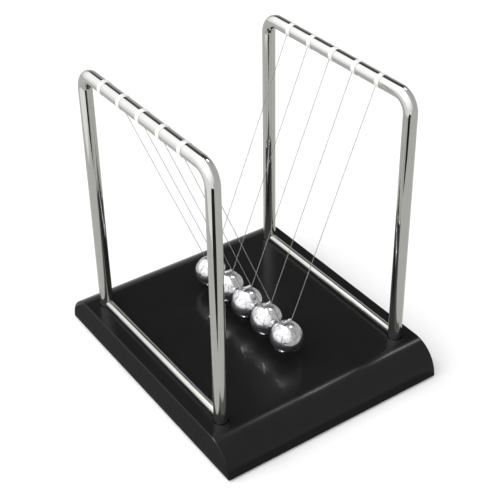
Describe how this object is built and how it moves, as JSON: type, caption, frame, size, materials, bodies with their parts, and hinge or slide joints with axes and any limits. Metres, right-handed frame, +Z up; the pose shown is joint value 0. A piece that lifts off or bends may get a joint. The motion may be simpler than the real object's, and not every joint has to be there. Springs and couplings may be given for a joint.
{
  "type": "newtons cradle",
  "caption": "Desk toy on a black base: steel balls in a row hang on V threads from two chrome frames, and the end balls swing out.",
  "frame": {"origin": "on the table, under the middle of the base", "axes": "+X along the row of balls, +Y from the front frame to the back frame, +Z up"},
  "size_m": [0.18, 0.15, 0.1869],
  "materials": {
    "black_plastic": "smooth moulded black, satin gloss",
    "rubber_feet": "matt black rubber",
    "chrome_rod": "bright chrome plate",
    "zinc_hardware": "zinc plated",
    "thread_collar": "milky white band",
    "polished_ball": "mirror polished steel",
    "eyelet_steel": "polished steel tube",
    "nylon_thread": "clear nylon line"
  },
  "bodies": {
    "stand": {"base_shell": "black_plastic", "base_plate": "black_plastic", "foot_front_left": "rubber_feet", "foot_front_right": "rubber_feet", "foot_back_left": "rubber_feet", "foot_back_right": "rubber_feet", "frame_front": "chrome_rod", "frame_back": "chrome_rod", "lower_bar_front": "chrome_rod", "lower_bar_back": "chrome_rod", "frame_screw_front_left": "zinc_hardware", "frame_screw_front_right": "zinc_hardware", "frame_screw_back_left": "zinc_hardware", "frame_screw_back_right": "zinc_hardware", "frame_washer_front_left": "zinc_hardware", "frame_washer_front_right": "zinc_hardware", "frame_washer_back_left": "zinc_hardware", "frame_washer_back_right": "zinc_hardware", "plate_screw_front_left": "zinc_hardware", "plate_screw_front_right": "zinc_hardware", "plate_screw_back_left": "zinc_hardware", "plate_screw_back_right": "zinc_hardware", "collar_front_1": "thread_collar", "collar_front_2": "thread_collar", "collar_front_3": "thread_collar", "collar_front_4": "thread_collar", "collar_front_5": "thread_collar", "collar_back_1": "thread_collar", "collar_back_2": "thread_collar", "collar_back_3": "thread_collar", "collar_back_4": "thread_collar", "collar_back_5": "thread_collar"},
    "pendulum_1": {"ball_1": "polished_ball", "eyelet_1": "eyelet_steel", "thread_1": "nylon_thread"},
    "pendulum_2": {"ball_2": "polished_ball", "eyelet_2": "eyelet_steel", "thread_2": "nylon_thread"},
    "pendulum_3": {"ball_3": "polished_ball", "eyelet_3": "eyelet_steel", "thread_3": "nylon_thread"},
    "pendulum_4": {"ball_4": "polished_ball", "eyelet_4": "eyelet_steel", "thread_4": "nylon_thread"},
    "pendulum_5": {"ball_5": "polished_ball", "eyelet_5": "eyelet_steel", "thread_5": "nylon_thread"}
  },
  "joints": [
    {"name": "swing_1", "type": "hinge", "parent": "stand", "child": "pendulum_1", "pos_m": [-0.0406, 0, 0.18069], "axis": [0, 1, 0], "range_deg": [0, 70]},
    {"name": "swing_2", "type": "hinge", "parent": "stand", "child": "pendulum_2", "pos_m": [-0.0203, 0, 0.18069], "axis": [0, -1, 0], "range_deg": [-0.047, 0.047]},
    {"name": "swing_3", "type": "hinge", "parent": "stand", "child": "pendulum_3", "pos_m": [0, 0, 0.18069], "axis": [0, -1, 0], "range_deg": [-0.047, 0.047]},
    {"name": "swing_4", "type": "hinge", "parent": "stand", "child": "pendulum_4", "pos_m": [0.0203, 0, 0.18069], "axis": [0, -1, 0], "range_deg": [-0.047, 0.047]},
    {"name": "swing_5", "type": "hinge", "parent": "stand", "child": "pendulum_5", "pos_m": [0.0406, 0, 0.18069], "axis": [0, -1, 0], "range_deg": [0, 70]}
  ]
}
